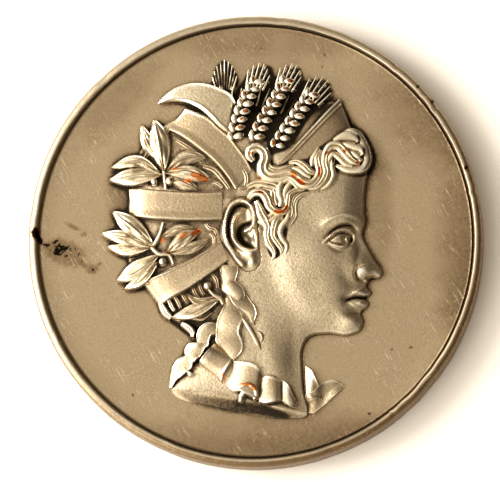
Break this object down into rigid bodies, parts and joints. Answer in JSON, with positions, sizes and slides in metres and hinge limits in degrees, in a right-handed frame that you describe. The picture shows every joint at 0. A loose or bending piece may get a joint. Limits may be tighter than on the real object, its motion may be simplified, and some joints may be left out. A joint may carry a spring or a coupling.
{
  "type": "commemorative table medal",
  "caption": "Round struck medal with a raised rim, a profile head crowned with wheat, laurel and plain bands in relief, and a plain reverse.",
  "frame": {"origin": "middle of the reverse rim's resting plane, below the middle of the disc", "axes": "+Z out of the obverse, +Y towards the top of the head, +X the way the profile faces"},
  "size_m": [0.068, 0.068, 0.0078],
  "materials": {
    "silvered_bronze": "worn silver plating on bronze, satin field, polished high points, dark tarnish in the recesses"
  },
  "bodies": {
    "root": {"medal": "silvered_bronze"}
  },
  "joints": []
}
